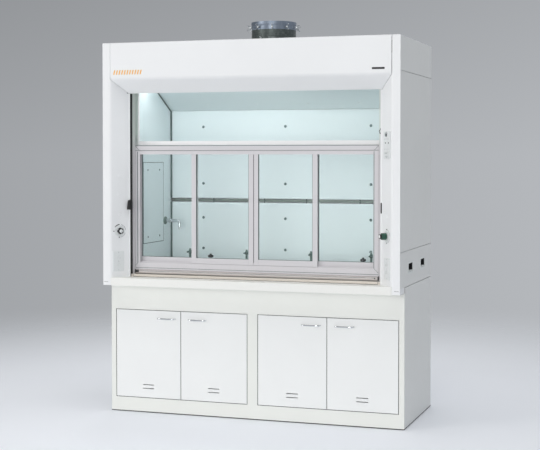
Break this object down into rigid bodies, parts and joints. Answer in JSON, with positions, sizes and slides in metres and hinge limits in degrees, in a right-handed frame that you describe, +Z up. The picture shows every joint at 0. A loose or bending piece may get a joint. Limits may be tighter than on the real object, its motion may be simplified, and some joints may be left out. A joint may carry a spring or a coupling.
{
  "type": "fume hood",
  "caption": "Walk-up laboratory fume hood with a vertical glazed sash holding sliding panes, a baffled chamber, a roof duct collar and a louvred door cabinet below.",
  "frame": {"origin": "on the floor, under the middle of the hood's overall box", "axes": "+X to the user's right, +Y from the front to the back, +Z up"},
  "size_m": [1.803, 0.85, 2.34],
  "materials": {
    "white_paint": "satin powder coat",
    "cabinet_paint": "satin powder coat",
    "side_paint": "satin powder coat",
    "liner_board": "smooth pale mint",
    "worktop_board": "satin",
    "sash_aluminium": "satin anodised",
    "clear_glass": "clear",
    "black_plastic": "moulded",
    "black_rubber": "matte",
    "sink_plastic": "moulded",
    "duct_steel": "galvanised",
    "zinc_steel": "zinc plated",
    "dark_screw": "capped",
    "chrome_plate": "polished",
    "weight_iron": "primed steel",
    "cable_steel": "stranded",
    "fitting_coat": "epoxy coated brass",
    "green_plastic": "moulded",
    "plate_plastic": "moulded",
    "port_plastic": "moulded",
    "grey_button": "moulded",
    "lamp_cover": "opal"
  },
  "bodies": {
    "root": {"base_sides": "cabinet_paint", "base_inner_panels": "cabinet_paint", "base_front_frame": "cabinet_paint", "door_hinge_pins": "zinc_steel", "worktop": "worktop_board", "cup_sink": "sink_plastic", "back_panels": "white_paint", "hood_sides": "side_paint", "side_service_panels": "side_paint", "side_ports": "port_plastic", "hood_roof": "white_paint", "header_panel": "white_paint", "front_posts": "white_paint", "side_liners": "liner_board", "liner_access_panels": "liner_board", "baffle_lower": "liner_board", "baffle_upper": "liner_board", "ceiling_panel": "liner_board", "liner_screws": "dark_screw", "lamp_housing": "white_paint", "lamp_diffuser": "lamp_cover", "duct_collar": "duct_steel", "duct_wing_bolts": "zinc_steel", "upper_glass": "clear_glass", "upper_glass_frame": "white_paint", "sash_tracks": "sash_aluminium", "sash_cables": "cable_steel", "sash_stop": "black_rubber", "service_fittings": "fitting_coat", "wall_spout": "chrome_plate", "post_plates": "plate_plastic", "control_plate": "plate_plastic"},
    "sash": {"sash_frame": "sash_aluminium", "sash_handle_rail": "sash_aluminium", "sash_glides": "black_plastic"},
    "pane_1": {"pane_frame_1": "sash_aluminium", "pane_glass_1": "clear_glass"},
    "pane_2": {"pane_frame_2": "sash_aluminium", "pane_glass_2": "clear_glass"},
    "pane_3": {"pane_frame_3": "sash_aluminium", "pane_glass_3": "clear_glass"},
    "pane_4": {"pane_frame_4": "sash_aluminium", "pane_glass_4": "clear_glass"},
    "door_1_leaf": {"door_1": "cabinet_paint", "door_handle_1": "chrome_plate"},
    "door_2_leaf": {"door_2": "cabinet_paint", "door_handle_2": "chrome_plate"},
    "door_3_leaf": {"door_3": "cabinet_paint", "door_handle_3": "chrome_plate"},
    "door_4_leaf": {"door_4": "cabinet_paint", "door_handle_4": "chrome_plate"},
    "weights": {"counterweights": "weight_iron"},
    "left_pulley": {"pulley_left": "black_plastic"},
    "right_pulley": {"pulley_right": "black_plastic"},
    "left_wheel": {"handwheel_left": "black_plastic"},
    "right_wheel": {"handwheel_right": "black_plastic"},
    "gas_control": {"gas_knob": "black_plastic"},
    "water_control": {"water_knob": "green_plastic"},
    "fan_push": {"fan_button": "grey_button"},
    "light_switch": {"light_rocker": "plate_plastic"}
  },
  "joints": [
    {"name": "sash_lift", "type": "slide", "parent": "root", "child": "sash", "axis": [0, 0, 1], "range_m": [0, 0.56], "deforming": ["sash_cables"]},
    {"name": "pane_1_slide", "type": "slide", "parent": "sash", "child": "pane_1", "axis": [1, 0, 0], "range_m": [0, 0.355]},
    {"name": "pane_2_slide", "type": "slide", "parent": "sash", "child": "pane_2", "axis": [1, 0, 0], "range_m": [-0.355, 0]},
    {"name": "pane_3_slide", "type": "slide", "parent": "sash", "child": "pane_3", "axis": [1, 0, 0], "range_m": [0, 0.355]},
    {"name": "pane_4_slide", "type": "slide", "parent": "sash", "child": "pane_4", "axis": [1, 0, 0], "range_m": [-0.355, 0]},
    {"name": "door_1_hinge", "type": "hinge", "parent": "root", "child": "door_1_leaf", "pos_m": [-0.8605, -0.3055, 0.35], "axis": [0, 0, -1], "range_deg": [0, 105]},
    {"name": "door_2_hinge", "type": "hinge", "parent": "root", "child": "door_2_leaf", "pos_m": [-0.0405, -0.3055, 0.35], "axis": [0, 0, 1], "range_deg": [0, 90]},
    {"name": "door_3_hinge", "type": "hinge", "parent": "root", "child": "door_3_leaf", "pos_m": [0.0405, -0.3055, 0.35], "axis": [0, 0, -1], "range_deg": [0, 90]},
    {"name": "door_4_hinge", "type": "hinge", "parent": "root", "child": "door_4_leaf", "pos_m": [0.8605, -0.3055, 0.35], "axis": [0, 0, 1], "range_deg": [0, 105]},
    {"name": "weight_travel", "type": "slide", "parent": "root", "child": "weights", "axis": [0, 0, 1], "range_m": [-0.56, 0]},
    {"name": "left_pulley_turn", "type": "hinge", "parent": "root", "child": "left_pulley", "pos_m": [-0.8, -0.275, 2.15], "axis": [0, 1, 0], "range_deg": [-920, 5]},
    {"name": "right_pulley_turn", "type": "hinge", "parent": "root", "child": "right_pulley", "pos_m": [0.8, -0.275, 2.15], "axis": [0, 1, 0], "range_deg": [-5, 920]},
    {"name": "left_wheel_turn", "type": "hinge", "parent": "root", "child": "left_wheel", "pos_m": [-0.449, 0.175, 0.905], "axis": [0, 0, 1], "range_deg": [0, 450]},
    {"name": "right_wheel_turn", "type": "hinge", "parent": "root", "child": "right_wheel", "pos_m": [0.537, 0.175, 0.905], "axis": [0, 0, 1], "range_deg": [0, 450]},
    {"name": "gas_knob_turn", "type": "hinge", "parent": "root", "child": "gas_control", "pos_m": [-0.8135, -0.379, 1.088], "axis": [0.7669, -0.6418, 0], "range_deg": [-90, 0]},
    {"name": "water_knob_turn", "type": "hinge", "parent": "root", "child": "water_control", "pos_m": [0.8135, -0.379, 1.088], "axis": [-0.7669, -0.6418, 0], "range_deg": [0, 270]},
    {"name": "fan_button_press", "type": "slide", "parent": "root", "child": "fan_push", "axis": [-0.7669, -0.6418, 0], "range_m": [-0.003, 0], "stiffness_N_per_m": 300},
    {"name": "light_rocker_tilt", "type": "hinge", "parent": "root", "child": "light_switch", "pos_m": [0.80928, -0.38253, 1.541], "axis": [0.6418, -0.7669, 0], "range_deg": [-16, 0]}
  ],
  "couplings": [
    {"joint": "weight_travel", "follows": "sash_lift", "ratio": -1},
    {"joint": "left_pulley_turn", "follows": "sash_lift", "rad_per_m": -28.571},
    {"joint": "right_pulley_turn", "follows": "sash_lift", "rad_per_m": 28.571}
  ]
}
